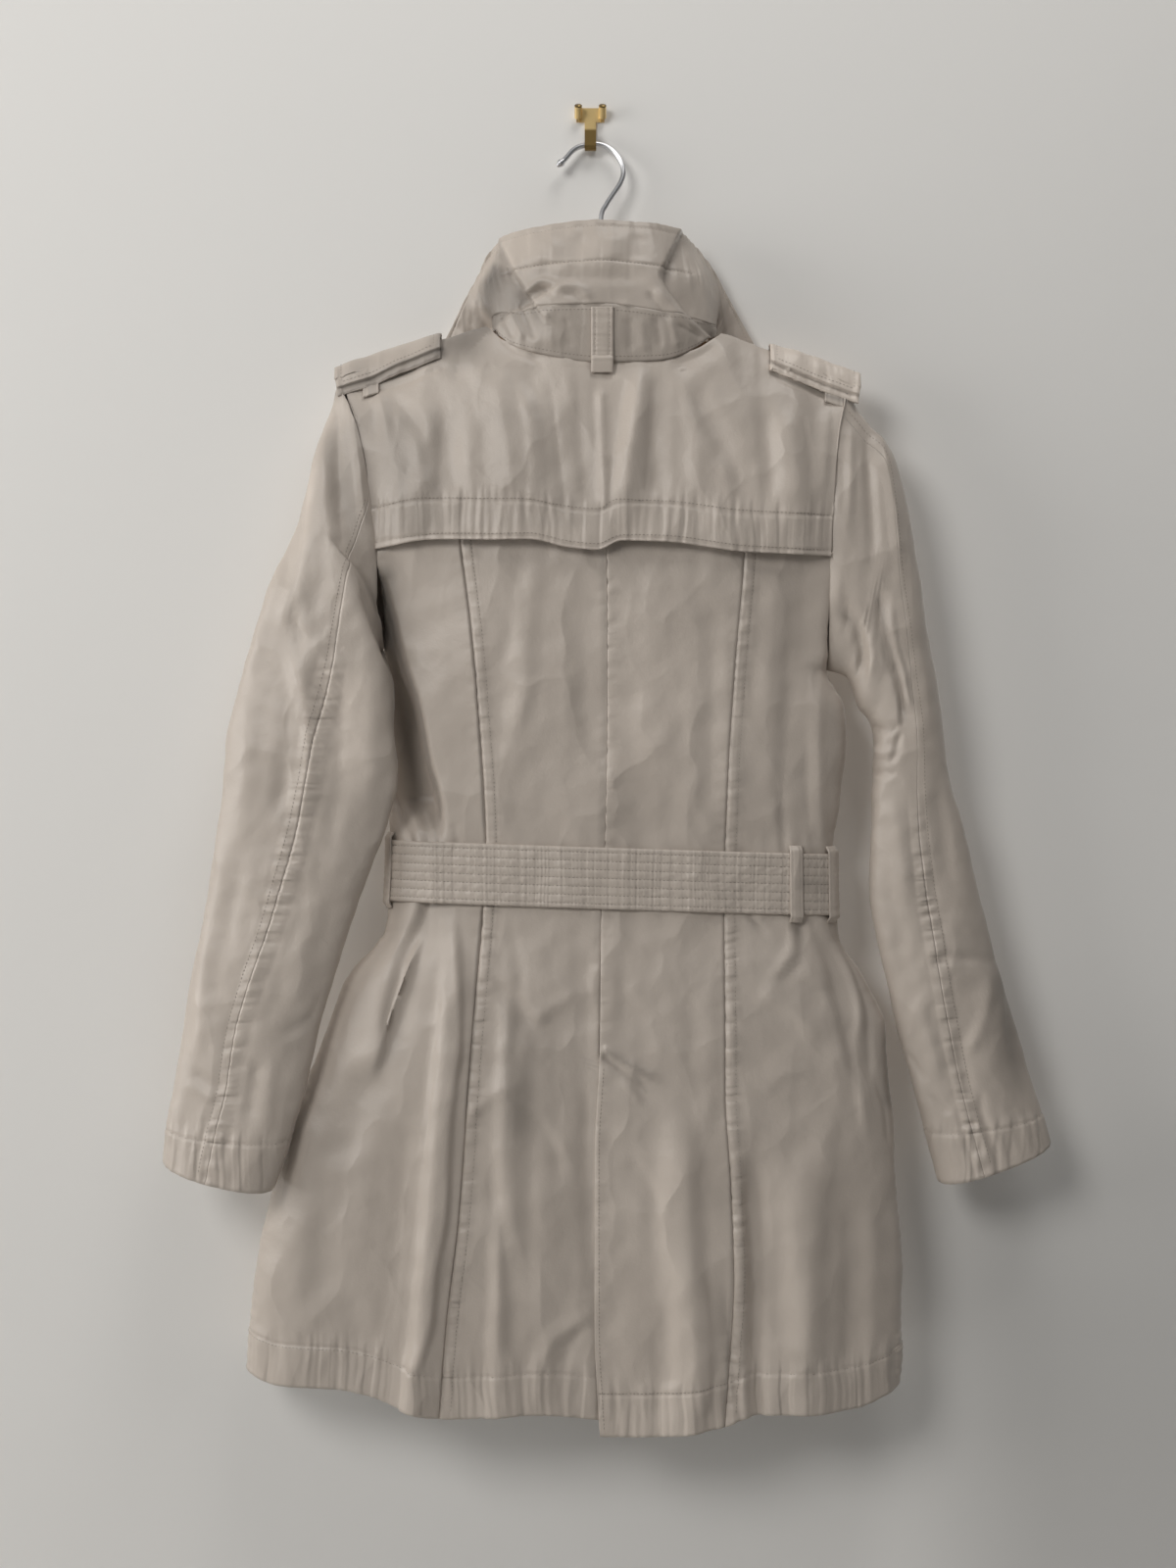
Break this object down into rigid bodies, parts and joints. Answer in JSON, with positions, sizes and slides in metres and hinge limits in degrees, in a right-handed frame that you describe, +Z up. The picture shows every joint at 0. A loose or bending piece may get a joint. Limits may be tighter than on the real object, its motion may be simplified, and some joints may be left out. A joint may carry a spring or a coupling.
{
  "type": "trench coat on a hanger and wall hook",
  "caption": "Light beige trench coat hanging back outward from a hanger and a small wall hook, with a raised collar, storm flap, epaulettes, belt, vent and creased sleeves.",
  "frame": {"origin": "on the wall, in the middle of the wall hook's plate", "axes": "+Z up, +Y into the wall, +X to the right of someone who faces the wall and sees the coat's back"},
  "size_m": [0.6804, 0.0914, 1.0299],
  "materials": {
    "coat_cloth": "smooth cotton blend with a slight sheen",
    "trim_plastic": "satin",
    "hanger_wood": "clear varnish",
    "steel": "bright drawn wire",
    "brass": "polished, slightly darkened"
  },
  "bodies": {
    "root": {"back_side_left": "coat_cloth", "back_centre_left": "coat_cloth", "back_centre_right": "coat_cloth", "back_side_right": "coat_cloth", "front_left": "coat_cloth", "front_right": "coat_cloth", "storm_flap": "coat_cloth", "top_sleeve_left": "coat_cloth", "under_sleeve_left": "coat_cloth", "top_sleeve_right": "coat_cloth", "under_sleeve_right": "coat_cloth", "collar_stand": "coat_cloth", "collar_fall": "coat_cloth", "epaulette_left": "coat_cloth", "epaulette_keeper_left": "coat_cloth", "epaulette_right": "coat_cloth", "epaulette_keeper_right": "coat_cloth", "hanger_tab": "coat_cloth", "belt": "coat_cloth", "belt_loop_side_left": "coat_cloth", "belt_loop_back_right": "coat_cloth", "belt_loop_side_right": "coat_cloth", "belt_buckle": "trim_plastic", "front_button_1": "trim_plastic", "front_button_2": "trim_plastic", "hanger": "hanger_wood", "hanger_hook": "steel", "wall_hook": "brass", "hook_nail_left": "brass", "hook_nail_right": "brass"}
  },
  "joints": []
}
